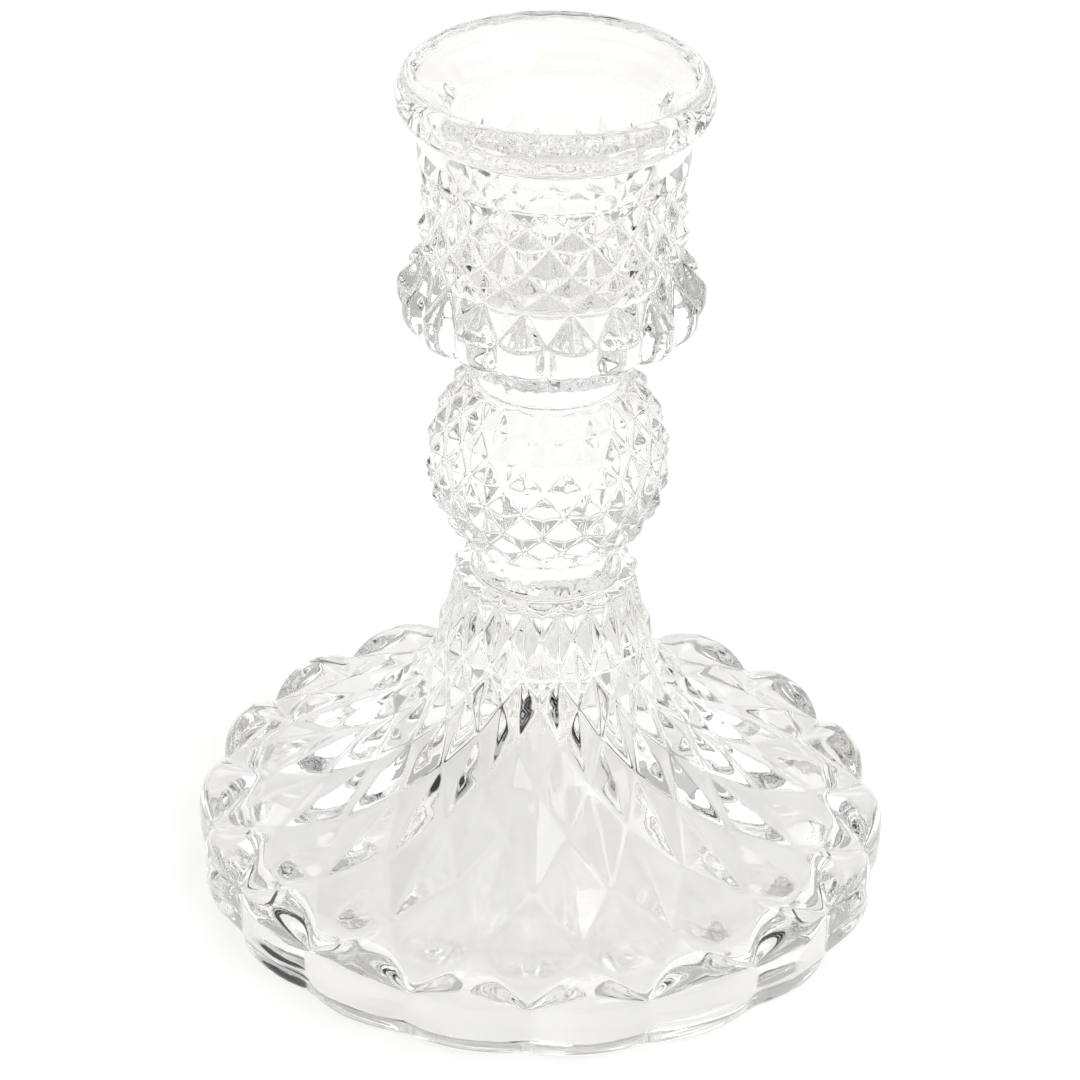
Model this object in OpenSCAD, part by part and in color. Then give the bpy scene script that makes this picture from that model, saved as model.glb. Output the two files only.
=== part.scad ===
// Pressed glass candlestick: a scalloped hollow foot, a faceted knop between two plain rings, and a
// diamond-faceted socket with a drip collar and a flared lip. The glass is one moulding. It is divided
// here at its moulded rings, so each named section is a closed solid that meets its neighbours face to face.

/* [Pattern] */
// Number of lobes round the foot, which is also the number of diamonds in each row
lobes = 18; // [12:1:24]
// How far each diamond on the foot stands proud of its grooves
foot_point = 0.9; // [0.3:0.1:1.3]
// How far each diamond on the knop and the socket stands proud of its grooves
stem_point = 0.8; // [0.3:0.1:1.3]

/* [Foot] */
// Radius of the foot at the cusps between its lobes
foot_r = 42.3; // [40:0.1:48]
// How far each lobe stands out past the cusps
foot_lobe = 2; // [0.5:0.1:2.5]
// Height of the top of the foot, where the lower ring starts
foot_h = 43.5; // [40:0.5:46]
// Radius of the hollow under the foot at the table
hollow_r = 38; // [34:0.5:39]
// Height of the hollow under the foot
hollow_h = 27; // [20:0.5:28]
// Height of the skirt that the hollow spreads out to near its edge
hollow_skirt = 4.6; // [3.6:0.1:5]
// Radius where the hollow is half way from its skirt to its top
hollow_waist = 10; // [8:0.5:11]

/* [Stem] */
// Radius of the plain ring below the knop
lower_ring_r = 9; // [7:0.1:10]
// Radius of the plain ring above the knop
upper_ring_r = 9.3; // [7:0.1:10]
// Radius of the knop's grooves at its widest row
knop_r = 14.3; // [12:0.1:16]

/* [Socket] */
// Bore for the candle
bore_d = 23.5; // [21:0.1:24.5]
// Depth of the bore below the funnel of the lip
bore_depth = 21; // [14:0.5:22]
// Radius of the drip collar at the cusps between its lobes
collar_r = 16.5; // [16:0.1:18]
// How far each collar lobe stands out past the cusps
collar_lobe = 2; // [0.5:0.1:2.5]
// Widest radius of the lip
lip_r = 18.6; // [17.8:0.1:20]

/* [Hidden] */

$fn = 96;
glass = [0.86, 0.9, 0.9, 0.7];
tint = [0.76, 0.83, 0.85, 0.7];

// The lattice: groove crossings and diamond points take turns round each row, one every "turn" degrees.
steps = 2 * lobes;
turn = 360 / steps;
fine = 4;            // columns that a lobe's round outline adds to each step
cols = steps * fine; // columns of a lobed ring

// Heights of the flat faces where the sections meet
rim_top = 5;
bell_top = 30.5;
ring_top = 48.7;
knop_top = 70;
collar_base = 77.8;
cup_base = 80;
collar_top = 86.7;
pattern_top = 99.4;
cup_top = 104.8;
lip_top = 110;

// Groove rows of the foot from its edge up: [groove radius as a share of the cusp radius, height]
foot_cusp = [1.0, 6.4];
bell_rows = [[0.832, 9.4], [0.67, 12.9], [0.532, 17.6], [0.442, 21.9], [0.36, 26], [0.326, bell_top]];
crown_rows = [[0.326, bell_top], [0.302, 34.3], [0.265, 39], [0.262, foot_h]];

// Groove rows of the knop: [share of its widest groove radius, height]
knop_rows = [[0.68, ring_top], [0.78, 49.8], [0.9, 52.6], [0.985, 55.6], [1, 58.6], [0.985, 61.9],
             [0.92, 64.8], [0.83, 67.8], [0.7, knop_top]];

// Groove rows of the socket: [radius, height, share of the full point if not 1]
cup_rows = [[15, collar_top, 0.5], [14.9, 89], [15.1, 91.2], [14.6, 94.4], [14.5, 96.8],
            [16, pattern_top, 0]];

// Lobed rows of the foot's upright edge: [height, share of the full lobe]
rim_rows = [[0, 0.2], [0.5, 0.6], [1.2, 0.88], [2.2, 1], [rim_top, 1]];
// The lobe tops roll over: [height at a cusp, rise to the lobe's middle, inset at the lobe's middle]
roll_rows = [[rim_top, 0, 0], [5.4, 2.4, 0], [5.8, 3.3, 0.9], [6.1, 3.8, 3]];
// Lobed rows of the drip collar: [height, radius past the cusps, share of the full lobe]
band_rows = [[collar_base, -6, 0], [78.5, -0.4, 0.6], [79.6, 0, 0.9], [81.2, 0.1, 1], [82.6, 0, 0.95]];

cup_foot_r = 14.2;   // the socket's wall inside the collar
sunk = 1;            // overlap of two shapes of one solid
cut = 0.5;           // how far a cutter passes the face that it opens

// A point at radius r and height z, p steps round from the front
function at(r, p, z) = [r * sin(p * turn), -r * cos(p * turn), z];

// Round lobe outline: 1 in the middle of a lobe (odd steps), 0 at the cusps (even steps)
function lobe(p) = 1 - pow(p % 2 - 1, 2);

// Direction that row j of a profile faces, square to the line between its neighbours. The end rows
// face straight out, so a section's end faces are flat.
function facing(rows, j) =
    j == 0 || j == len(rows) - 1 ? [1, 0]
    : let (dr = rows[j + 1][0] - rows[j - 1][0], dz = rows[j + 1][1] - rows[j - 1][1])
      [dz, -dr] / norm([dz, dr]);

// Row j as a ring of points: groove crossings where step + j + odd is even, diamond tips in between
function lattice_ring(rows, j, point, odd) = [for (p = [0 : steps - 1])
    let (out = (p + j + odd) % 2 == 0 ? 0 : point * (len(rows[j]) > 2 ? rows[j][2] : 1),
         way = facing(rows, j) * out)
    at(rows[j][0] + way[0], p, rows[j][1] + way[1])];

// Triangles between rings of n points, "rings" of them from point number "base" up. The fold of each
// cell joins the two groove crossings, as in a net of four-sided pyramids.
function skin(n, rings, base, odd) = [for (j = [0 : rings - 2]) for (i = [0 : n - 1])
    let (a = base + j * n + i, b = base + j * n + (i + 1) % n, c = b + n, d = a + n)
    each (i + j + odd) % 2 == 0 ? [[a, d, c], [a, c, b]] : [[a, d, b], [d, c, b]]];

// Flat end faces of a stack of rings
function floor_face(n, base) = [[for (i = [0 : n - 1]) base + i]];
function top_face(n, base) = [[for (i = [n - 1 : -1 : 0]) base + i]];

// Profile rows with their radii worked out from a driving radius
function scaled(rows, r) = [for (row = rows) [row[0] * r, row[1]]];

// Solid with a flat floor and top whose wall is a net of diamonds
module lattice(rows, point, odd) {
    rings = len(rows);
    points = [for (j = [0 : rings - 1]) each lattice_ring(rows, j, point, odd)];
    polyhedron(points, concat(floor_face(steps, 0), skin(steps, rings, 0, odd),
                              top_face(steps, (rings - 1) * steps)));
}

// Height of the hollow at a radius: a bell that spreads out towards its skirt
function bell(r) = hollow_skirt + (hollow_h - hollow_skirt) / (1 + pow(r / hollow_waist, 2));

// Bell-shaped hollow under the foot, whose skirt turns down to the table in a quarter turn
module hollow() {
    corner = 1.5;
    start = hollow_r - corner;
    edge = [for (k = [6 : -1 : 0]) [start + corner * sin(15 * k), bell(start) * cos(15 * k)]];
    slope = [for (k = [1 : 24]) let (r = start * (1 - k / 24)) [r, bell(r)]];
    rotate_extrude()
        polygon(concat([[0, -cut], [hollow_r, -cut]], edge, slope));
}

module foot_rim() {
    points = [for (row = rim_rows) for (i = [0 : cols - 1])
              let (p = i / fine) at(foot_r + foot_lobe * row[1] * lobe(p), p, row[0])];
    rings = len(rim_rows);
    color(glass) difference() {
        polyhedron(points, concat(floor_face(cols, 0), skin(cols, rings, 0, 0),
                                  top_face(cols, (rings - 1) * cols)));
        hollow();
    }
}

module foot_bell() {
    rows = scaled(bell_rows, foot_r);
    rolls = [for (row = roll_rows) for (i = [0 : cols - 1])
             let (p = i / fine, full = lobe(p))
             at(foot_r + (foot_lobe - row[2]) * full, p, row[0] + row[1] * full)];
    // The groove that zigzags between the lobes and the first row of diamonds
    cusp = foot_cusp * foot_r;
    zigzag = [for (i = [0 : cols - 1])
              let (low = 2 * floor((i / fine + 1) / 2), high = 2 * floor(i / fine / 2) + 1,
                   from = at(cusp[0], low, foot_cusp[1]), to = at(rows[0][0], high, rows[0][1]))
              from + (to - from) * abs(i / fine - low)];
    tips = [for (p = [0 : steps - 1]) at(rows[0][0] + foot_point / 2, p, rows[0][1] + foot_point)];
    upper = [for (j = [1 : len(rows) - 1]) each lattice_ring(rows, j, foot_point, 1)];
    first_tip = 5 * cols;
    first_row = first_tip + steps;
    // Point number of step p in the first row: a tip, or the zigzag's own crossing
    function at_row(p) = p % 2 == 0 ? first_tip + p : 4 * cols + p * fine;
    fans = [for (i = [0 : cols - 1])
            let (a = 4 * cols + i, b = 4 * cols + (i + 1) % cols, p = 2 * floor((i / fine + 1) / 2) % steps)
            [a, at_row(p), b]];
    start = [for (p = [0 : steps - 1])
             let (q = (p + 1) % steps, a = at_row(p), b = at_row(q), c = first_row + q, d = first_row + p)
             each p % 2 == 1 ? [[a, d, c], [a, c, b]] : [[a, d, b], [d, c, b]]];
    color(tint) difference() {
        polyhedron(concat(rolls, zigzag, tips, upper),
                   concat(floor_face(cols, 0), skin(cols, 5, 0, 0), fans, start,
                          skin(steps, len(rows) - 1, first_row, 0),
                          top_face(steps, first_row + (len(rows) - 2) * steps)));
        hollow();
    }
}

module foot_crown() {
    color(glass) lattice(scaled(crown_rows, foot_r), foot_point, 0);
}

module lower_ring() {
    color(tint) translate([0, 0, foot_h]) cylinder(r = lower_ring_r, h = ring_top - foot_h);
}

module knop() {
    color(glass) lattice(scaled(knop_rows, knop_r), stem_point, 1);
}

module upper_ring() {
    color(tint) translate([0, 0, knop_top]) cylinder(r = upper_ring_r, h = collar_base - knop_top);
}

module drip_collar() {
    band = [for (row = band_rows) for (i = [0 : cols - 1])
            let (p = i / fine) at(collar_r + row[1] + collar_lobe * row[2] * lobe(p), p, row[0])];
    ring = lattice_ring(cup_rows, 0, stem_point, 1);
    rings = len(band_rows);
    edge = (rings - 1) * cols;
    top = rings * cols;
    // Each lobe runs up to one crossing as a fan, and each cusp up to a kite between two of them
    fans = [for (i = [0 : cols - 1]) let (p = 2 * floor(i / fine / 2) + 1)
            [edge + i, top + p, edge + (i + 1) % cols]];
    kites = [for (p = [0 : 2 : steps - 1]) let (a = edge + p * fine)
             each [[a, top + (p + steps - 1) % steps, top + p], [a, top + p, top + p + 1]]];
    color(glass) difference() {
        polyhedron(concat(band, ring),
                   concat(floor_face(cols, 0), skin(cols, rings, 0, 0), fans, kites,
                          top_face(steps, top)));
        translate([0, 0, cup_base]) cylinder(r = cup_foot_r, h = collar_top - cup_base + cut);
    }
}

module candle_cup() {
    swell = 12;
    // Plain band above the diamonds, which flares to the lip. It starts just inside their last row.
    start_r = cup_rows[5][0] - 0.4;
    band = [for (k = [0 : swell]) let (t = k / swell)
            [start_r + (lip_r - 2 - start_r) * pow(t, 2), pattern_top + (cup_top - pattern_top) * t]];
    color(tint) difference() {
        union() {
            translate([0, 0, cup_base]) cylinder(r = cup_foot_r, h = collar_top - cup_base + sunk);
            lattice(cup_rows, stem_point, 1);
            rotate_extrude() polygon(concat([[0, pattern_top - sunk], [start_r - 0.3, pattern_top - sunk]], band,
                                            [[0, cup_top]]));
        }
        translate([0, 0, cup_top - bore_depth]) cylinder(d = bore_d, h = bore_depth + cut);
    }
}

module rim_lip() {
    arc = 10;
    bore_r = bore_d / 2;
    crest_r = lip_r - 1.8;
    widest_z = 107;
    under = [for (k = [0 : arc]) let (a = -90 + 90 * k / arc)
             [crest_r + 1.8 * cos(a), widest_z + (widest_z - cup_top) * sin(a)]];
    over = [for (k = [1 : arc]) let (a = 90 * k / arc)
            [crest_r + 1.8 * cos(a), widest_z + (lip_top - widest_z) * sin(a)]];
    funnel = [for (k = [1 : arc]) let (t = k / arc)
              [crest_r + (bore_r - crest_r) * t, lip_top + (cup_top - lip_top) * pow(t, 1.2)]];
    color(glass) rotate_extrude() polygon(concat(under, over, funnel));
}

foot_rim();
foot_bell();
foot_crown();
lower_ring();
knop();
upper_ring();
drip_collar();
candle_cup();
rim_lip();
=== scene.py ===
"""Pressed glass candlestick, laid out as a Blender add-on and run as a script.

The whole outside of the glass is one skin of rings, from the top of the hollow under the foot, out
over the foot, up the stem, over the lip and down to the bottom of the bore. Each named section of
the moulding is a stretch of that skin, closed by clear inner faces where it meets its neighbours.
"""

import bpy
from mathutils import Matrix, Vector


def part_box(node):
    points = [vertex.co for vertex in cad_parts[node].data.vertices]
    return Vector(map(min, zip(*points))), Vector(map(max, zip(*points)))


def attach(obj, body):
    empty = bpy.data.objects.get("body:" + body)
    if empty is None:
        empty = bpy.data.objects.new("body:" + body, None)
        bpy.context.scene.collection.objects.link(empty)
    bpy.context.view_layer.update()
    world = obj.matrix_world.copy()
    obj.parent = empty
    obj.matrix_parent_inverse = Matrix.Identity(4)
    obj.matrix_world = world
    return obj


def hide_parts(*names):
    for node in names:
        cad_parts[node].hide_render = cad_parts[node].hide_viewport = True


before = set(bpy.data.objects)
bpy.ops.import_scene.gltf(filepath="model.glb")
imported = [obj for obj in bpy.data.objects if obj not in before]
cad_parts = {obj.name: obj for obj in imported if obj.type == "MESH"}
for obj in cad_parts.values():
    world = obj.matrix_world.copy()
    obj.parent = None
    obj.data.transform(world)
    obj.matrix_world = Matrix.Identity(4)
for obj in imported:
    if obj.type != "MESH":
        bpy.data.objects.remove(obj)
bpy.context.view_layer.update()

import math

import bpy
import numpy as np
from mathutils import Matrix, Vector

bl_info = {
    "name": "Pressed Glass Candlestick",
    "version": (1, 0, 0),
    "blender": (4, 5, 0),
    "location": "3D View > Sidebar > Candlestick",
    "description": "Builds a diamond-cut pressed glass candlestick round its frame",
    "category": "Add Mesh",
}

MM = 0.001
BODY = "root"


def top_of(node):
    """Height of a section's top face in millimetres, from the frame."""
    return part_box(node)[1][2] / MM


def bottom_of(node):
    """Height of a section's bottom face in millimetres, from the frame."""
    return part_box(node)[0][2] / MM


RIM_TOP = top_of("foot_rim")
BELL_TOP = top_of("foot_bell")
FOOT_TOP = top_of("foot_crown")
LOWER_RING_TOP = top_of("lower_ring")
KNOP_TOP = top_of("knop")
COLLAR_BASE = bottom_of("drip_collar")
COLLAR_TOP = top_of("drip_collar")
CUP_BASE = bottom_of("candle_cup")
CUP_TOP = top_of("candle_cup")
LIP_TOP = top_of("rim_lip")

# Shape details in millimetres that a user wouldn't change
CUP_FOOT_R = 14.2
COLLAR_UNDERSIDE = 0.7
COLLAR_ARC = 82.5
LIP_ROUND = 1.8
LIP_HALF = 2.2
BORE_HEEL = 1.5
CROWN_BOXES = 3
INNER_FACE = -9


# ---------------------------------------------------------------- sizes that a user would change


def length(name, description, mm, low, high):
    """A length property whose default and limits are given in millimetres."""
    return bpy.props.FloatProperty(
        name=name,
        description=description,
        default=mm * MM,
        min=low * MM,
        max=high * MM,
        subtype="DISTANCE",
        unit="LENGTH",
        precision=5,
    )


class CandlestickPattern(bpy.types.PropertyGroup):
    """The net of diamonds that covers the glass."""

    lobes: bpy.props.IntProperty(
        name="Lobes", description="Lobes round the foot, and diamonds in a row", default=18, min=12, max=24
    )
    fineness: bpy.props.IntProperty(
        name="Fineness",
        description="Mesh steps along each side of a diamond's box",
        default=12,
        min=4,
        max=16,
    )
    softness: bpy.props.IntProperty(
        name="Softness", description="Times that fire polishing rounds the creases", default=1, min=0, max=6
    )
    foot_point: length("Foot point", "How far a foot diamond stands out of its grooves", 1.0, 0.2, 1.5)
    knop_point: length("Knop point", "How far a diamond of the knop stands out", 0.78, 0.2, 1.5)
    socket_point: length("Socket point", "How far a diamond of the socket stands out", 1.2, 0.2, 1.5)
    unevenness: length("Unevenness", "Height of the slow waves left by the press", 0.03, 0, 0.2)


class CandlestickFoot(bpy.types.PropertyGroup):
    """Sizes of the foot."""

    cusp_radius: length("Cusp radius", "Radius of the foot between its lobes", 42.3, 38, 48)
    lobe: length("Lobe", "How far each lobe stands out past the cusps", 2.0, 0.5, 3)
    crest: length("Crest", "Height of the bend that rolls a lobe over", 9.9, 8, 14)
    hollow_radius: length("Hollow radius", "Radius of the hollow under the foot", 38.0, 30, 39)
    hollow_height: length("Hollow height", "Height of the hollow under the foot", 27.0, 8, 29)
    hollow_skirt: length("Hollow skirt", "Height that the hollow's skirt spreads out at", 4.6, 4, 6)
    hollow_waist: length("Hollow waist", "Radius where the hollow is half way from top to skirt", 10.0, 4, 20)
    hollow_corner: length("Hollow corner", "Width of the turn from the skirt down to the table", 1.5, 0.5, 6)


class CandlestickStem(bpy.types.PropertyGroup):
    """Sizes of the rings and the knop."""

    lower_ring: length("Lower ring", "Radius of the plain ring below the knop", 9.0, 7, 10)
    upper_ring: length("Upper ring", "Radius of the plain ring above the knop", 9.3, 7, 10)
    knop: length("Knop", "Radius of the knop's grooves at the widest row", 14.3, 12, 16)


class CandlestickSocket(bpy.types.PropertyGroup):
    """Sizes of the socket, its collar and its lip."""

    bore_radius: length("Bore radius", "Radius of the bore for the candle", 11.75, 10, 12.5)
    bore_depth: length("Bore depth", "Depth of the bore below the lip's funnel", 21.0, 14, 22)
    collar: length("Collar radius", "Radius of the drip collar between its lobes", 16.5, 16, 18)
    collar_lobe: length("Collar lobe", "How far each collar lobe stands out", 2.0, 0.5, 3)
    lip: length("Lip radius", "Widest radius of the lip", 18.6, 17, 20)


class CandlestickFinish(bpy.types.PropertyGroup):
    """Look of the glass and of the studio round it."""

    tint: bpy.props.FloatVectorProperty(
        name="Tint",
        description="Colour that the glass lets through",
        default=(0.972, 0.965, 0.95),
        min=0,
        max=1,
        subtype="COLOR",
    )
    ior: bpy.props.FloatProperty(
        name="Index", description="Index of refraction of soda-lime glass", default=1.52, min=1.3, max=1.8
    )
    floor: bpy.props.FloatVectorProperty(
        name="Floor",
        description="Colour of the floor under the candlestick",
        default=(0.5, 0.5, 0.495),
        min=0,
        max=1,
        subtype="COLOR",
    )
    glow: bpy.props.FloatVectorProperty(
        name="Glow",
        description="Colour of the light that comes through the floor",
        default=(1.0, 1.0, 0.99),
        min=0,
        max=1,
        subtype="COLOR",
    )
    glow_strength: bpy.props.FloatProperty(
        name="Glow strength",
        description="Share of the floor's light that comes through it",
        default=0.75,
        min=0,
        max=2,
    )
    surround: bpy.props.FloatProperty(
        name="Surround", description="Strength of the soft light all round", default=0.52, min=0, max=2
    )


GROUPS = {
    "candlestick_pattern": CandlestickPattern,
    "candlestick_foot": CandlestickFoot,
    "candlestick_stem": CandlestickStem,
    "candlestick_socket": CandlestickSocket,
    "candlestick_finish": CandlestickFinish,
}


# ---------------------------------------------------------------- the skin of the glass, in millimetres


class Net:
    """The net of steps round the glass. Groove crossings and diamond points take turns round each row.

    A step is one crossing to the next point: 10 degrees with 18 lobes. Step 0 faces the front, and
    each step has "fineness" columns of the mesh.
    """

    def __init__(self, pattern):
        self.steps = 2 * pattern.lobes
        self.fine = pattern.fineness
        self.columns = self.steps * self.fine
        self.step = np.arange(self.columns) / self.fine

    def ring(self, radius, height, step=None):
        """Points at a radius and height for each step: (r sin a, -r cos a, z), a from the front."""
        step = self.step if step is None else step
        angle = step * 2 * math.pi / self.steps
        radius, height = np.broadcast_arrays(radius, height, angle)[:2]
        return np.stack([radius * np.sin(angle), -radius * np.cos(angle), height], axis=-1)

    def lobe(self, at_even=False):
        """Round lobe outline: 1 less the square of the way from the lobe's middle to its cusp."""
        return 1 - ((self.step + at_even) % 2 - 1) ** 2

    def from_cusp(self):
        """Share of the way from the cusp at the even step to the lobe's middle at the odd one."""
        return 1 - np.abs(self.step % 2 - 1)

    def rows(self, profile):
        """Rings for a plain turned profile, a list of (radius, height)."""
        return np.array([self.ring(radius, height) for radius, height in profile])

    def lattice(self, rows, point, odd):
        """Crossings and points of a diamond net, one row of "steps" points for each (radius, height, share).

        Crossings lie on the profile where step + row + odd is even. The points between them stand
        out square to the profile by "point" times the row's share.
        """
        rows = np.array(rows, float)
        step = np.arange(self.steps)
        along = np.gradient(rows[:, :2], axis=0)
        along /= np.linalg.norm(along, axis=1, keepdims=True)
        out = point * rows[:, 2, None] * ((step + np.arange(len(rows))[:, None] + odd) % 2)
        radius = rows[:, 0, None] + out * along[:, 1, None]
        height = rows[:, 1, None] - out * along[:, 0, None]
        return self.ring(radius, height, step)

    def facets(self, lattice, odd):
        """Rings that cover a lattice with flat facets, folded along the grooves.

        In the box between two rows and two steps, a point is a blend of the three corners of its
        facet: the box is split along the line that joins its two groove crossings.
        """
        row = np.arange((len(lattice) - 1) * self.fine + 1) / self.fine
        low = np.minimum(row.astype(int), len(lattice) - 2)
        left = np.floor(self.step).astype(int)
        v = (row - low)[:, None, None]
        u = (self.step - left)[None, :, None]
        right = (left + 1) % self.steps
        a, b = lattice[low][:, left], lattice[low][:, right]
        d, c = lattice[low + 1][:, left], lattice[low + 1][:, right]
        rising = ((left[None, :] + low[:, None] + odd) % 2 == 0)[:, :, None]
        over = np.where(v >= u, a + v * (d - a) + u * (c - d), a + u * (b - a) + v * (c - b))
        under = np.where(u + v <= 1, a + u * (b - a) + v * (d - a), c + (1 - u) * (d - c) + (1 - v) * (b - c))
        return np.where(rising, over, under)


def bezier(start, corner_a, corner_b, end, share):
    """Point on a cubic curve: the start, two corners and the end weighed by Bernstein's terms."""
    rest = 1 - share
    return rest**3 * start + 3 * rest**2 * share * corner_a + 3 * rest * share**2 * corner_b + share**3 * end


def arc(middle, width, base, rise, angles):
    """Points (radius, height) of a turn: middle + width cos a out, and base + rise sin a up."""
    return [(middle + width * math.cos(a), base + rise * math.sin(a)) for a in angles]


def hollow_rows(net, foot):
    """The hollow under the foot: a bell whose skirt turns down to the table in a quarter turn.

    The bell's height at a radius is skirt + (top - skirt) / (1 + (radius / waist) squared).
    Returns the rings above the rim's top face and those below it.
    """
    top, wide = foot.hollow_height / MM, foot.hollow_radius / MM
    skirt, waist = foot.hollow_skirt / MM, foot.hollow_waist / MM
    turn = foot.hollow_corner / MM

    def bell(radius):
        return skirt + (top - skirt) / (1 + (radius / waist) ** 2)

    down = [(r, bell(r)) for r in np.linspace(0.5, wide - turn, 60)]
    drop = bell(wide - turn)
    split = math.asin(RIM_TOP / drop)
    shoulder = arc(wide - turn, turn, 0, drop, np.linspace(math.pi / 2, split, 6)[1:])
    wall = arc(wide - turn, turn, 0, drop, np.linspace(split, 0, 14))
    return net.rows(down + shoulder), net.rows(wall)


def rim_rows(net, foot):
    """The edge that stands on the table: each lobe swells out of the round base, then goes straight up."""
    cusp, lobe = foot.cusp_radius / MM, foot.lobe / MM * net.lobe()
    base = [net.ring(r, 0) for r in np.linspace(foot.hollow_radius / MM + 0.4, cusp - 0.5, 6)]
    turn = np.linspace(0, math.pi / 2, 9)
    swell = [net.ring(cusp + lobe * (0.15 + 0.85 * math.sin(a)), 2.2 * (1 - math.cos(a))) for a in turn]
    upright = [net.ring(cusp + lobe, z) for z in np.linspace(2.2, RIM_TOP, 7)[1:]]
    return np.array(base + swell + upright)


def roll_and_bell_rows(net, foot, lattice):
    """The rolled lobe tops, then the diamonds.

    Below the zigzag groove, each column is a cubic curve from the edge, over the crest, down to the
    groove. Above it the diamonds' facets take over, so both share the rows of the first box.
    """
    cusp = foot.cusp_radius / MM
    edge_r = cusp + foot.lobe / MM * net.lobe()
    crest_z = lattice[0, 0, 2] - 0.2 + (foot.crest / MM - lattice[0, 0, 2] + 0.2) * net.lobe() ** 0.8
    share = net.from_cusp()[:, None]
    even = 2 * np.floor((net.step + 1) / 2).astype(int) % net.steps
    odd = 2 * np.floor(net.step / 2).astype(int) + 1
    groove = lattice[0][even] * (1 - share) + lattice[1][odd] * share
    groove_r = np.hypot(groove[:, 0], groove[:, 1])
    tight = 0.82
    climb = 1.5
    row = np.linspace(-climb, 1, int(net.fine * (climb + 1)) + 1)
    way = np.clip((row[:, None] + climb) / (net.from_cusp()[None] + climb), 0, 1)
    radius = bezier(edge_r, edge_r, groove_r + tight * (edge_r - groove_r), groove_r, way)
    height = bezier(
        RIM_TOP,
        RIM_TOP + tight * (crest_z - RIM_TOP),
        groove[:, 2] + tight * (crest_z - groove[:, 2]),
        groove[:, 2],
        way,
    )
    rolled = net.ring(radius, height)
    bell = net.facets(lattice, 0)
    first = len(row) - 1 - net.fine
    above = row[first:, None] > net.from_cusp()[None]
    rolled[first:] = np.where(above[:, :, None], bell[: net.fine + 1], rolled[first:])
    return np.concatenate([rolled, bell[net.fine + 1 :]]), first


def collar_rows(net, stem, socket, crossings):
    """The drip collar: nearly flat underside, lobed band, then fans and kites up to the socket.

    A fan is ruled from each crossing of the socket's first row to the arc on top of a lobe. The kites
    between the fans are flat facets.
    """
    radius, lobe = socket.collar / MM, net.lobe()
    full = socket.collar_lobe / MM
    edge = radius - 0.4 + 0.6 * full * lobe
    inner = stem.upper_ring / MM
    under = [
        net.ring(inner * (1 - s) + edge * s, COLLAR_BASE + COLLAR_UNDERSIDE * s**2)
        for s in np.linspace(0, 1, 10)[1:]
    ]
    tall = COLLAR_ARC - COLLAR_BASE - COLLAR_UNDERSIDE

    def band_ring(share):
        """Ring of the lobed band: its lobes swell early on the way up, then lean in a little."""
        swell = 0.6 + 0.4 * math.sin(min(share * 1.9, 1.0) * math.pi / 2)
        out = radius - 0.4 * (1 - share) ** 2 + full * lobe * swell * (1 - 0.06 * share**3)
        return net.ring(out, COLLAR_BASE + COLLAR_UNDERSIDE + tall * share + 0.3 * lobe * share)

    band = [band_ring(share) for share in np.linspace(0, 1, 13)[1:]]
    top = band[-1]
    rise = (np.arange(1, net.fine + 1) / net.fine)[:, None]
    u = net.from_cusp()[None]
    start = np.where(rise < 1, (u - rise) / np.maximum(1 - rise, 1e-6), 0)
    even = 2 * np.floor((net.step + 1) / 2) % net.steps
    odd = 2 * np.floor(net.step / 2).astype(int) + 1
    side = np.where(net.step % 2 < 1, 1, -1)
    arc_step = (even[None] + side[None] * np.clip(start, 0, 1)) % net.steps
    grown = np.concatenate([top, top[:1]])
    columns = np.arange(net.columns + 1) / net.fine
    arc_point = np.stack([np.interp(arc_step, columns, grown[:, k]) for k in range(3)], axis=-1)
    apex = crossings[odd % net.steps][None]
    ridge = crossings[even.astype(int) % net.steps][None]
    cusp_point = top[(even * net.fine).astype(int) % net.columns][None]
    u3, v3 = u[:, :, None], rise[:, :, None]
    fan = arc_point * (1 - v3) + apex * v3
    kite = cusp_point + u3 * (apex - ridge) + v3 * (ridge - cusp_point)
    shoulder = np.where(v3 >= u3, kite, fan)
    return np.concatenate([under, band, shoulder])


# Groove rows: radius, height, and the share of the full point that the diamonds on that row have. The
# knop's radii are shares of its widest one.
FOOT_ROWS = (
    (42.3, 6.4, 0),
    (35.2, 9.4, 1.1),
    (28.3, 12.9, 1.1),
    (22.5, 17.6, 1.1),
    (18.7, 21.9, 1),
    (15.2, 26.0, 0.9),
    (13.8, BELL_TOP, 0.8),
    (12.8, 34.3, 0.8),
    (11.3, 38.8, 0.8),
)
CROWN_EDGE = (11.1, FOOT_TOP - 0.7, 0.6)
KNOP_ROWS = (
    (0.70, LOWER_RING_TOP, 0.3),
    (0.78, 49.8, 0.8),
    (0.9, 52.6, 0.9),
    (0.985, 55.6, 1),
    (1.0, 58.6, 1),
    (0.985, 61.9, 1),
    (0.92, 64.8, 1),
    (0.83, 67.8, 0.9),
    (0.7, KNOP_TOP, 0.3),
)
CUP_ROWS = (
    (15.0, COLLAR_TOP, 0.5),
    (14.9, 89.0, 1),
    (15.1, 91.2, 1),
    (14.6, 94.4, 1),
    (14.5, 96.8, 0.9),
    (16.0, 99.4, 0),
)


def round_off(rows, times):
    """Fire polishing: each point goes half way to the mean of its neighbours, round and then along."""
    for _ in range(times):
        rows = 0.5 * rows + 0.25 * (np.roll(rows, 1, axis=1) + np.roll(rows, -1, axis=1))
        inner = 0.5 * rows[1:-1] + 0.25 * (rows[:-2] + rows[2:])
        rows = np.concatenate([rows[:1], inner, rows[-1:]])
    return rows


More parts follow.
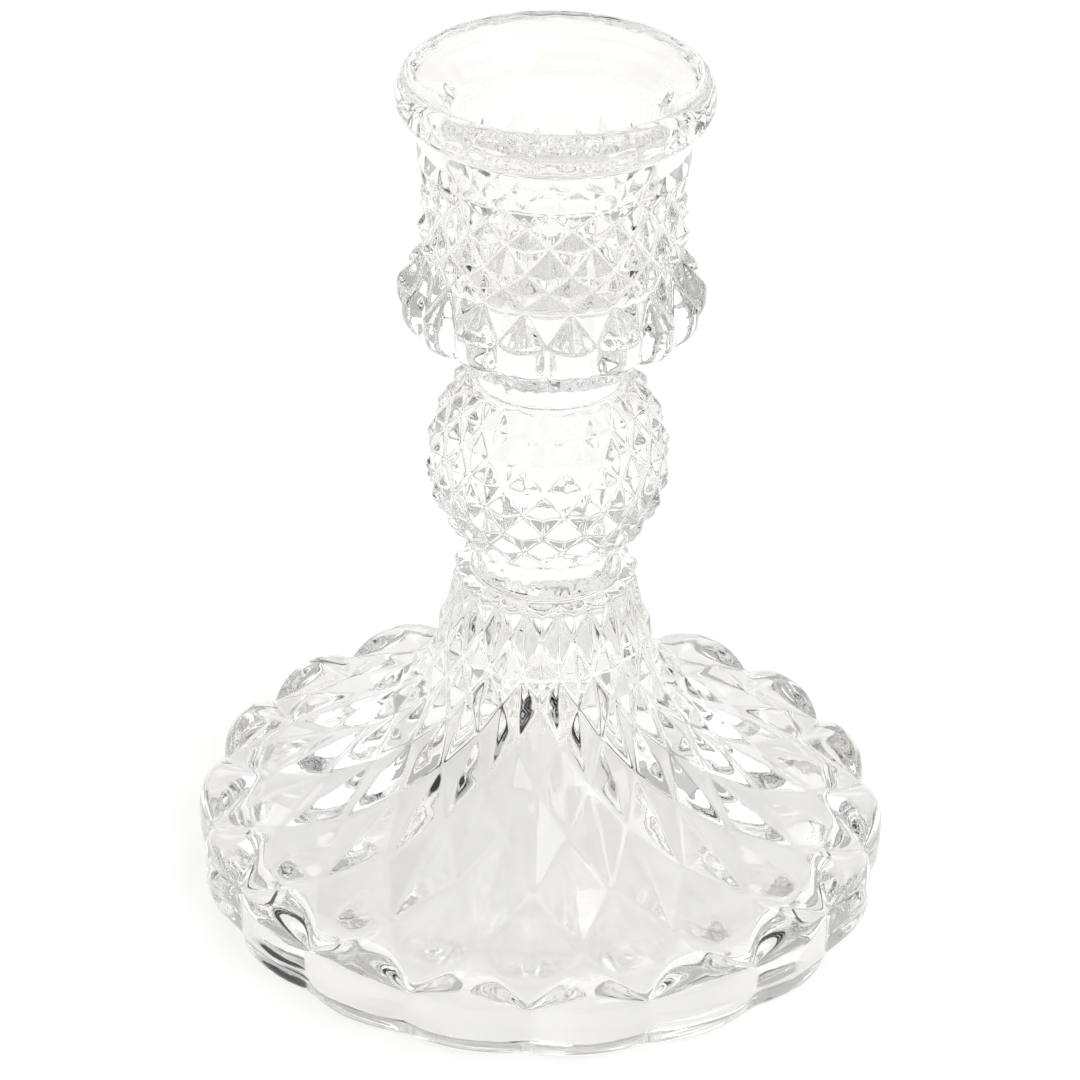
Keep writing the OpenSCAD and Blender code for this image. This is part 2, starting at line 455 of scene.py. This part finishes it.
def facing_of(rows):
    """Directions that the skin faces: the way round crossed with the way along, made unit length."""
    round_ = np.roll(rows, -1, axis=1) - np.roll(rows, 1, axis=1)
    along = np.gradient(rows, axis=0)
    facing = np.cross(round_, along)
    return facing / np.maximum(np.linalg.norm(facing, axis=2, keepdims=True), 1e-12)


class Skin:
    """All rings of the glass in order, with the fold of each band and the rows where sections meet."""

    def __init__(self, scene):
        pattern = scene.candlestick_pattern
        foot, stem, socket = scene.candlestick_foot, scene.candlestick_stem, scene.candlestick_socket
        self.net = net = Net(pattern)
        self.mark = {}
        self.blocks = []
        self.folds = []
        foot_point = pattern.foot_point / MM
        knop_point, socket_point = pattern.knop_point / MM, pattern.socket_point / MM

        upper, lower = hollow_rows(net, foot)
        self.mark["dome_top"] = foot.hollow_height / MM
        self.add(upper, "dome", "hollow_rim")
        self.add(lower[1:])
        self.add(rim_rows(net, foot), None, "rim_top")

        top_lattice = net.lattice(FOOT_ROWS + (CROWN_EDGE,), foot_point, 0)
        bell, first = roll_and_bell_rows(net, foot, top_lattice)
        crown_lobe = net.lobe(at_even=True)
        fade = np.clip((np.arange(len(bell)) - (len(bell) - 1 - net.fine)) / net.fine, 0, 1)[:, None] ** 2
        bell[:, :, 2] += fade * 0.7 * (crown_lobe - (1 - np.abs((net.step + 1) % 2 - 1)))
        self.add(bell[1:], None, "crown_top", fold_from=first, parity=0)
        self.mark["bell_top"] = self.mark["crown_top"] - CROWN_BOXES * net.fine
        ring_r = stem.lower_ring / MM
        edge = bell[-1]
        edge_r = np.hypot(edge[:, 0], edge[:, 1])
        shelf = np.linspace(0, 1, 6)[1:, None]
        shelf_top = FOOT_TOP - 0.1
        shelf_r = edge_r * (1 - shelf) + ring_r * shelf
        shelf_z = edge[:, 2] * (1 - shelf) ** 2 + shelf_top * (1 - (1 - shelf) ** 2)
        self.add(net.ring(shelf_r, shelf_z), None, "lower_ring_base")
        self.add_tube(ring_r, np.linspace(shelf_top, LOWER_RING_TOP, 14)[1:], "knop_base")
        knop_r = stem.knop / MM
        knop_rows = [(r * knop_r, z, s) for r, z, s in KNOP_ROWS]
        knop = net.facets(net.lattice(knop_rows, knop_point, 1), 1)
        self.add(knop, fold_from=0, parity=1)
        ring_r = stem.upper_ring / MM
        self.add_tube(ring_r, [KNOP_TOP], "knop_top")
        self.add_tube(ring_r, np.linspace(KNOP_TOP, COLLAR_BASE, 18)[1:], "collar_base")
        cup = net.lattice(CUP_ROWS, socket_point, 1)
        collar = collar_rows(net, stem, socket, cup[0])
        self.add(collar, None, "collar_top", fold_from=len(collar) - net.fine, parity=0)
        body = net.facets(cup, 1)
        self.add(body[1:], fold_from=0, parity=1)
        start_r, start_z, _ = CUP_ROWS[-1]
        lip_r, bore_r = socket.lip / MM, socket.bore_radius / MM
        neck_r = lip_r - 2.0
        band = [
            (start_r + (neck_r - start_r) * t**2.2, start_z + (CUP_TOP - start_z) * t)
            for t in np.linspace(0, 1, 15)[1:]
        ]
        self.add(net.rows(band), None, "cup_top")
        crest_r, widest = lip_r - LIP_ROUND, CUP_TOP + LIP_HALF
        quarter = math.pi / 2
        under = arc(crest_r, LIP_ROUND, widest, LIP_HALF, np.linspace(-1.2, 0, 9)[1:])
        over = arc(crest_r, LIP_ROUND, widest, LIP_TOP - widest, np.linspace(0, quarter, 14)[1:])
        funnel = [
            (crest_r + (bore_r - crest_r) * t, LIP_TOP + (CUP_TOP - LIP_TOP) * t**1.2)
            for t in np.linspace(0, 1, 18)[1:]
        ]
        self.add(net.rows(under + over + funnel), None, "bore_mouth")
        depth = self.mark["bore_bottom"] = CUP_TOP - socket.bore_depth / MM
        wall = [(bore_r, z) for z in np.linspace(CUP_TOP, depth + BORE_HEEL, 24)[1:]]
        heel_angles = np.linspace(0, quarter, 7)[1:]
        heel = arc(bore_r - BORE_HEEL, BORE_HEEL, depth + BORE_HEEL, -BORE_HEEL, heel_angles)
        floor = [(r, depth) for r in np.linspace(bore_r - BORE_HEEL, 0.3, 10)[1:]]
        self.add(net.rows(wall + heel + floor), None, "bore_end")

        rows = np.concatenate(self.blocks)
        rows = self.uneven(rows, pattern.unevenness / MM)
        self.rows = round_off(rows, pattern.softness)
        self.facing = facing_of(self.rows)
        self.fold = np.concatenate(self.folds)

    def add_tube(self, radius, heights, last):
        """Adds a plain upright tube: one ring at each height."""
        self.add(self.net.rows([(radius, z) for z in heights]), None, last)

    def add(self, rows, first=None, last=None, fold_from=None, parity=0):
        """Adds a block of rings. From ring fold_from of the block on, cells fold along the grooves."""
        start = sum(len(block) for block in self.blocks)
        fold = np.zeros((len(rows), self.net.columns), bool)
        if fold_from is not None:
            box = (np.arange(len(rows)) - fold_from) // self.net.fine
            step = np.floor(self.net.step).astype(int)
            fold[:] = (step[None] + box[:, None] + parity) % 2 == 1
        self.blocks.append(np.asarray(rows))
        self.folds.append(fold)
        if first:
            self.mark[first] = start
        if last:
            self.mark[last] = start + len(rows) - 1

    def uneven(self, rows, height):
        """Slow waves across the skin: a few sines of the angle and the height, fading out towards the axis,
        with none in the hollow under the foot or on the bottom of the rim.
        """
        if not height:
            return rows
        angle = self.net.step[None] * 2 * math.pi / self.net.steps
        z = rows[:, :, 2]
        wave = (
            np.sin(7 * angle + 0.31 * z)
            + np.sin(-11 * angle + 0.47 * z + 1.3)
            + np.sin(23 * angle + 0.9 * z + 0.4)
            + np.sin(-31 * angle + 1.3 * z + 2.1)
        )
        wave = wave * height / 2
        radius = np.hypot(rows[:, :, 0], rows[:, :, 1])
        wave = wave * np.clip((radius - 4) / 20, 0, 1)
        wave[: self.mark["rim_top"] - 10] = 0
        return rows + facing_of(rows) * wave[:, :, None]


# ---------------------------------------------------------------- pieces


def piece_mesh(name, skin, path, glass):
    """Closes a stretch of the skin into one solid.

    path lists what the section's outline passes from the axis back to the axis, or round to its
    start: ("rows", first, last) is skin, ("ring", radius, height) a plain inner ring and
    ("pole", height, of_skin) a point on the axis. Inner faces get the clear joint material.
    """
    net = skin.net
    rings, facing, owner = [], [], []
    poles = {}
    for kind, *what in path:
        if kind == "rows":
            rows = np.arange(what[0], what[1] + 1)
            rings.append(skin.rows[rows])
            facing.append(skin.facing[rows])
            owner.extend(rows.tolist())
        elif kind == "ring":
            rings.append(net.rows([(what[0], what[1])]))
            facing.append(np.zeros((1, net.columns, 3)))
            owner.append(INNER_FACE)
        else:
            poles["end" if owner else "start"] = what
    points = np.concatenate(rings)
    facing = np.concatenate(facing)
    owner = np.array(owner)
    count, columns = points.shape[:2]
    closed_round = not poles
    band = np.arange(count if closed_round else count - 1)
    after = (band + 1) % count
    is_skin = (owner[band] >= 0) & (owner[after] == owner[band] + 1)
    fold = skin.fold[np.where(is_skin, owner[after], 0)] & is_skin[:, None]
    column = np.arange(columns)
    beside = (column + 1) % columns
    a = band[:, None] * columns + column[None]
    b = band[:, None] * columns + beside[None]
    c = after[:, None] * columns + beside[None]
    d = after[:, None] * columns + column[None]
    first = np.where(fold[:, :, None], np.stack([a, b, d], -1), np.stack([a, b, c], -1))
    second = np.where(fold[:, :, None], np.stack([b, c, d], -1), np.stack([a, c, d], -1))
    triangles = np.stack([first, second], axis=2).reshape(-1, 3)
    joint = np.repeat(~is_skin, columns * 2)
    points = points.reshape(-1, 3)
    facing = facing.reshape(-1, 3)
    for end, (height, of_skin) in poles.items():
        tip = len(points)
        points = np.concatenate([points, [[0, 0, height]]])
        row = 0 if end == "start" else count - 1
        here, there = row * columns + column, row * columns + beside
        order = (there, here) if end == "start" else (here, there)
        fan = np.stack([order[0], order[1], np.full(columns, tip)], -1)
        way = np.cross(points[fan[0, 1]] - points[fan[0, 0]], points[tip] - points[fan[0, 0]])
        facing = np.concatenate([facing, [way / np.linalg.norm(way)]])
        triangles = np.concatenate([triangles, fan])
        joint = np.concatenate([joint, np.full(columns, not of_skin)])

    mesh = bpy.data.meshes.new(name)
    mesh.from_pydata((points * MM).tolist(), [], triangles.tolist())
    mesh.materials.append(glass)
    mesh.materials.append(joint_material())
    mesh.polygons.foreach_set("material_index", joint.astype(np.int32))
    mesh.polygons.foreach_set("use_smooth", np.ones(len(triangles), bool))
    corner = points[triangles]
    flat = np.cross(corner[:, 1] - corner[:, 0], corner[:, 2] - corner[:, 0])
    flat /= np.maximum(np.linalg.norm(flat, axis=1, keepdims=True), 1e-12)
    normals = np.where(joint[:, None, None], flat[:, None], facing[triangles])
    mesh.update()
    mesh.normals_split_custom_set(normals.reshape(-1, 3).tolist())
    return mesh


def put_piece(context, name, node, path):
    """Makes one section of the glass, puts it in the scene and ties it to the frame."""
    skin = Skin(context.scene)
    marked = [(kind, *[skin.mark.get(word, word) for word in what]) for kind, *what in path]
    mesh = piece_mesh(name, skin, marked, glass_material(context.scene.candlestick_finish))
    piece = bpy.data.objects.new(name, mesh)
    context.scene.collection.objects.link(piece)
    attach(piece, BODY)
    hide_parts(node)
    return piece


# ---------------------------------------------------------------- materials


class Socket:
    """Wraps a shader socket, so that arithmetic on it adds Math nodes."""

    def __init__(self, tree, socket):
        self.tree, self.socket = tree, socket

    def math(self, operation, left, right):
        """One Math node on two values."""
        node = make_node(self.tree, "ShaderNodeMath", {"operation": operation}, {0: left, 1: right})
        return Socket(self.tree, node.outputs[0])

    def __add__(self, other):
        return self.math("ADD", self, other)

    def __mul__(self, other):
        return self.math("MULTIPLY", self, other)

    def __sub__(self, other):
        return self.math("SUBTRACT", self, other)

    def __rsub__(self, other):
        return self.math("SUBTRACT", other, self)

    def clamped(self):
        """The value kept between 0 and 1."""
        node = make_node(self.tree, "ShaderNodeClamp", None, {"Value": self})
        return Socket(self.tree, node.outputs[0])

    __radd__ = __add__
    __rmul__ = __mul__


def make_node(tree, kind, settings=None, inputs=None):
    """Adds a node: its settings first, then the values or links of its sockets."""
    node = tree.nodes.new(kind)
    for key, value in (settings or {}).items():
        setattr(node, key, value)
    for key, value in (inputs or {}).items():
        if isinstance(value, Socket):
            tree.links.new(value.socket, node.inputs[key])
        else:
            node.inputs[key].default_value = value
    return node


def new_material(name):
    """An empty node material and its output."""
    material = bpy.data.materials.new(name)
    material.use_nodes = True
    material.node_tree.nodes.clear()
    return material, material.node_tree, make_node(material.node_tree, "ShaderNodeOutputMaterial")


def joint_material():
    """Clear joint: light goes straight through the inner faces where two sections meet."""
    if "clear_joint" in bpy.data.materials:
        return bpy.data.materials["clear_joint"]
    material, tree, output = new_material("clear_joint")
    clear = make_node(tree, "ShaderNodeBsdfTransparent")
    tree.links.new(clear.outputs[0], output.inputs["Surface"])
    return material


def glass_material(finish):
    """Pressed soda-lime glass: fire-polished gloss, slow waves and fine mould grain in its surface."""
    if "pressed_glass" in bpy.data.materials:
        return bpy.data.materials["pressed_glass"]
    material, tree, output = new_material("pressed_glass")
    place = Socket(tree, make_node(tree, "ShaderNodeTexCoord").outputs["Object"])
    wave = make_node(tree, "ShaderNodeTexNoise", None, {"Vector": place, "Scale": 260.0, "Detail": 2.0})
    grain = make_node(tree, "ShaderNodeTexNoise", None, {"Vector": place, "Scale": 1500.0, "Detail": 3.0})
    relief = Socket(tree, wave.outputs["Fac"]) * 0.9 + Socket(tree, grain.outputs["Fac"]) * 0.1
    bump = make_node(tree, "ShaderNodeBump", None, {"Height": relief, "Strength": 0.06, "Distance": 0.0006})
    handled = make_node(tree, "ShaderNodeTexNoise", None, {"Vector": place, "Scale": 90.0, "Detail": 4.0})
    rough = Socket(tree, handled.outputs["Fac"]) * 0.012
    shader = make_node(
        tree,
        "ShaderNodeBsdfPrincipled",
        None,
        {
            "Base Color": (*finish.tint, 1),
            "Roughness": rough,
            "IOR": finish.ior,
            "Transmission Weight": 1.0,
            "Normal": Socket(tree, bump.outputs["Normal"]),
        },
    )
    tree.links.new(shader.outputs[0], output.inputs["Surface"])
    return material


def floor_material(finish):
    """Pale translucent table, lit from below as well as from above, with a faint tooth, and a painted shadow
    under the foot where its glow is dimmed in blotches.
    """
    material, tree, output = new_material("pale_table_painted_shadow")
    place = Socket(tree, make_node(tree, "ShaderNodeTexCoord").outputs["Object"])
    tooth = make_node(tree, "ShaderNodeTexNoise", None, {"Vector": place, "Scale": 900.0, "Detail": 4.0})
    bump = make_node(
        tree,
        "ShaderNodeBump",
        None,
        {"Height": Socket(tree, tooth.outputs["Fac"]), "Strength": 0.05, "Distance": 0.0002},
    )
    distance = make_node(tree, "ShaderNodeVectorMath", {"operation": "LENGTH"}, {0: place})
    away = Socket(tree, distance.outputs["Value"])
    # Painted shadow of the foot on the floor: the glow is dimmed to 0.84 in the middle and gets lighter
    # outwards, with blotches of painted shade from this noise, and is back to full between 41 and 44 mm out.
    painted_shadow_blotches = make_node(tree, "ShaderNodeTexNoise", None, {"Vector": place, "Scale": 110.0, "Detail": 1.0})
    under = (away * (1 / 0.044)).clamped()
    outside = ((away - 0.041) * (1 / 0.003)).clamped()
    painted_shadow = 0.84 + 0.13 * under * under + 0.34 * (Socket(tree, painted_shadow_blotches.outputs["Fac"]) - 0.5)
    share = painted_shadow + outside * (1.0 - painted_shadow)
    glow = make_node(
        tree, "ShaderNodeVectorMath", {"operation": "SCALE"}, {0: tuple(finish.glow), "Scale": share}
    )
    shader = make_node(
        tree,
        "ShaderNodeBsdfPrincipled",
        None,
        {
            "Base Color": (*finish.floor, 1),
            "Roughness": 0.9,
            "Specular IOR Level": 0.1,
            "Emission Color": Socket(tree, glow.outputs["Vector"]),
            "Emission Strength": finish.glow_strength,
            "Normal": Socket(tree, bump.outputs["Normal"]),
        },
    )
    tree.links.new(shader.outputs[0], output.inputs["Surface"])
    return material


def card_material(name, strength):
    """Even card of the studio: a soft light when it glows, a black flag when it doesn't."""
    material, tree, output = new_material(name)
    glow = make_node(tree, "ShaderNodeEmission", None, {"Color": (1, 1, 1, 1), "Strength": strength})
    tree.links.new(glow.outputs[0], output.inputs["Surface"])
    return material


# ---------------------------------------------------------------- operators


class SectionOperator:
    """What the operators of the nine sections share: a path along the skin."""

    bl_options = {"REGISTER", "UNDO"}
    piece = ""
    node = ""
    path = ()

    def execute(self, context):
        put_piece(context, self.piece, self.node, self.path)
        return {"FINISHED"}


class CANDLESTICK_OT_foot_rim(SectionOperator, bpy.types.Operator):
    """Scalloped edge that stands on the table, round the hollow."""

    bl_idname = "candlestick.foot_rim"
    bl_label = "Foot Rim"
    piece, node = "foot_rim_glass", "foot_rim"
    path = (("rows", "hollow_rim", "rim_top"),)


class CANDLESTICK_OT_foot_bell(SectionOperator, bpy.types.Operator):
    """Bell of the foot: rolled lobe tops and the spreading net of diamonds."""

    bl_idname = "candlestick.foot_bell"
    bl_label = "Foot Bell"
    piece, node = "foot_bell_glass", "foot_bell"
    path = (
        ("pole", "dome_top", True),
        ("rows", "dome", "hollow_rim"),
        ("rows", "rim_top", "bell_top"),
        ("pole", BELL_TOP, False),
    )


class CANDLESTICK_OT_foot_crown(SectionOperator, bpy.types.Operator):
    """Steep top of the foot, with its row of small lobes."""

    bl_idname = "candlestick.foot_crown"
    bl_label = "Foot Crown"
    piece, node = "foot_crown_glass", "foot_crown"
    path = (("pole", BELL_TOP, False), ("rows", "bell_top", "lower_ring_base"), ("pole", FOOT_TOP, False))


class CANDLESTICK_OT_lower_ring(SectionOperator, bpy.types.Operator):
    """Plain ring between the foot and the knop."""

    bl_idname = "candlestick.lower_ring"
    bl_label = "Lower Ring"
    piece, node = "lower_ring_glass", "lower_ring"
    path = (
        ("pole", FOOT_TOP, False),
        ("rows", "lower_ring_base", "knop_base"),
        ("pole", LOWER_RING_TOP, False),
    )


class CANDLESTICK_OT_knop(SectionOperator, bpy.types.Operator):
    """Diamond-cut ball of the stem."""

    bl_idname = "candlestick.knop"
    bl_label = "Knop"
    piece, node = "knop_glass", "knop"
    path = (("pole", LOWER_RING_TOP, False), ("rows", "knop_base", "knop_top"), ("pole", KNOP_TOP, False))


class CANDLESTICK_OT_upper_ring(SectionOperator, bpy.types.Operator):
    """Plain ring between the knop and the collar."""

    bl_idname = "candlestick.upper_ring"
    bl_label = "Upper Ring"
    piece, node = "upper_ring_glass", "upper_ring"
    path = (("pole", KNOP_TOP, False), ("rows", "knop_top", "collar_base"), ("pole", COLLAR_BASE, False))


class CANDLESTICK_OT_drip_collar(SectionOperator, bpy.types.Operator):
    """Lobed collar round the foot of the socket."""

    bl_idname = "candlestick.drip_collar"
    bl_label = "Drip Collar"
    piece, node = "drip_collar_glass", "drip_collar"
    path = (
        ("pole", COLLAR_BASE, False),
        ("rows", "collar_base", "collar_top"),
        ("ring", CUP_FOOT_R, COLLAR_TOP),
        ("ring", CUP_FOOT_R, CUP_BASE),
        ("pole", CUP_BASE, False),
    )


class CANDLESTICK_OT_candle_cup(SectionOperator, bpy.types.Operator):
    """Socket for the candle: diamonds outside, plain bore inside."""

    bl_idname = "candlestick.candle_cup"
    bl_label = "Candle Cup"
    piece, node = "candle_cup_glass", "candle_cup"
    path = (
        ("pole", CUP_BASE, False),
        ("ring", CUP_FOOT_R, CUP_BASE),
        ("ring", CUP_FOOT_R, COLLAR_TOP),
        ("rows", "collar_top", "cup_top"),
        ("rows", "bore_mouth", "bore_end"),
        ("pole", "bore_bottom", True),
    )


class CANDLESTICK_OT_rim_lip(SectionOperator, bpy.types.Operator):
    """Flared lip with its funnel."""

    bl_idname = "candlestick.rim_lip"
    bl_label = "Lip"
    piece, node = "rim_lip_glass", "rim_lip"
    path = (("rows", "cup_top", "bore_mouth"),)


SECTIONS = (
    CANDLESTICK_OT_foot_rim,
    CANDLESTICK_OT_foot_bell,
    CANDLESTICK_OT_foot_crown,
    CANDLESTICK_OT_lower_ring,
    CANDLESTICK_OT_knop,
    CANDLESTICK_OT_upper_ring,
    CANDLESTICK_OT_drip_collar,
    CANDLESTICK_OT_candle_cup,
    CANDLESTICK_OT_rim_lip,
)


def put_camera(scene):
    """Camera in front and above, turned a little to the right and rolled a little."""
    turn = math.radians(1.33)
    pitch = math.radians(31.86)
    away, aim = 444.1, Vector((-0.76, 0, 46.6))
    place = Vector((0, -away * math.cos(pitch), aim.z + away * math.sin(pitch)))
    spin = Matrix.Rotation(turn, 4, "Z")
    place, aim = spin @ place, spin @ aim
    data = bpy.data.cameras.new("camera")
    data.lens = 119.48
    data.sensor_width = 36
    data.clip_start = 0.01
    camera = bpy.data.objects.new("camera", data)
    scene.collection.objects.link(camera)
    look = (aim - place).to_track_quat("-Z", "Y").to_matrix().to_4x4()
    camera.matrix_world = Matrix.Translation(place * MM) @ look @ Matrix.Rotation(math.radians(1.19), 4, "Z")
    scene.camera = camera


def put_world(scene, strength):
    """Soft even light all round."""
    world = bpy.data.worlds.new("studio")
    scene.world = world
    world.use_nodes = True
    tree = world.node_tree
    tree.nodes.clear()
    output = make_node(tree, "ShaderNodeOutputWorld")
    sky = make_node(tree, "ShaderNodeBackground", None, {"Color": (1, 1, 1, 1), "Strength": strength})
    tree.links.new(sky.outputs[0], output.inputs["Surface"])


CARD_DISTANCE = 0.9
# Cards round the studio: name, first and last bearing clockwise from behind the object, first and last
# height, all in degrees, and strength
CARDS = (
    ("softbox_right", 95, 150, 38, 60, 3.0),
    ("softbox_back", 330, 380, 14, 40, 1.6),
    ("flag_left", 205, 305, 6, 44, 0.0),
    ("flag_low", 150, 205, 0, 10, 0.0),
    ("flag_right", 55, 130, 6, 32, 0.0),
)


def put_card(scene, name, first, last, low, high, strength):
    """A card bent round the object at arm's length, in the part of the view that the angles give."""
    bearing = np.radians(np.linspace(first, last, 13))
    height = np.radians(np.linspace(low, high, 7))[:, None]
    ring = np.cos(height)
    points = np.stack(
        [ring * np.sin(bearing), ring * np.cos(bearing), np.sin(height) * np.ones_like(bearing)], -1
    )
    start = (np.arange(6)[:, None] * 13 + np.arange(12)).reshape(-1, 1)
    mesh = bpy.data.meshes.new(name)
    mesh.from_pydata((points.reshape(-1, 3) * CARD_DISTANCE).tolist(), [], (start + [0, 1, 14, 13]).tolist())
    mesh.materials.append(card_material(name, strength))
    card = bpy.data.objects.new(name, mesh)
    scene.collection.objects.link(card)
    card.visible_camera = False
    card.visible_shadow = False


class CANDLESTICK_OT_stage(bpy.types.Operator):
    """Pale floor, soft studio light and the camera."""

    bl_idname = "candlestick.stage"
    bl_label = "Stage"
    bl_options = {"REGISTER", "UNDO"}

    def execute(self, context):
        scene = context.scene
        half, gap = 1.5, 0.05 * MM
        mesh = bpy.data.meshes.new("floor")
        corners = [(x * half, y * half, -gap) for x, y in ((-1, -1), (1, -1), (1, 1), (-1, 1))]
        mesh.from_pydata(corners, [], [(0, 1, 2, 3)])
        mesh.materials.append(floor_material(scene.candlestick_finish))
        floor = bpy.data.objects.new("floor", mesh)
        scene.collection.objects.link(floor)
        put_world(scene, scene.candlestick_finish.surround)
        for card in CARDS:
            put_card(scene, *card)
        put_camera(scene)
        scene.view_settings.view_transform = "Standard"
        scene.cycles.max_bounces = 32
        scene.cycles.transmission_bounces = 32
        scene.cycles.transparent_max_bounces = 64
        scene.cycles.glossy_bounces = 12
        return {"FINISHED"}


class CANDLESTICK_PT_panel(bpy.types.Panel):
    """Lists the candlestick's sizes and the operators that build it."""

    bl_idname = "CANDLESTICK_PT_panel"
    bl_label = "Candlestick"
    bl_space_type = "VIEW_3D"
    bl_region_type = "UI"
    bl_category = "Candlestick"

    def draw(self, context):
        for key, group in GROUPS.items():
            box = self.layout.box()
            for name in group.__annotations__:
                box.prop(getattr(context.scene, key), name)
        for operator in (*SECTIONS, CANDLESTICK_OT_stage):
            self.layout.operator(operator.bl_idname)


CLASSES = (*GROUPS.values(), *SECTIONS, CANDLESTICK_OT_stage, CANDLESTICK_PT_panel)


def register():
    """Adds the panel, the operators and the candlestick's sizes."""
    for item in CLASSES:
        bpy.utils.register_class(item)
    for key, group in GROUPS.items():
        setattr(bpy.types.Scene, key, bpy.props.PointerProperty(type=group))


def unregister():
    """Takes away all that register() added."""
    for key in GROUPS:
        delattr(bpy.types.Scene, key)
    for item in reversed(CLASSES):
        bpy.utils.unregister_class(item)


def main():
    """Builds every section and the stage."""
    register()
    for operator in (*SECTIONS, CANDLESTICK_OT_stage):
        getattr(bpy.ops.candlestick, operator.bl_idname.split(".")[1])()


if __name__ == "__main__":
    main()
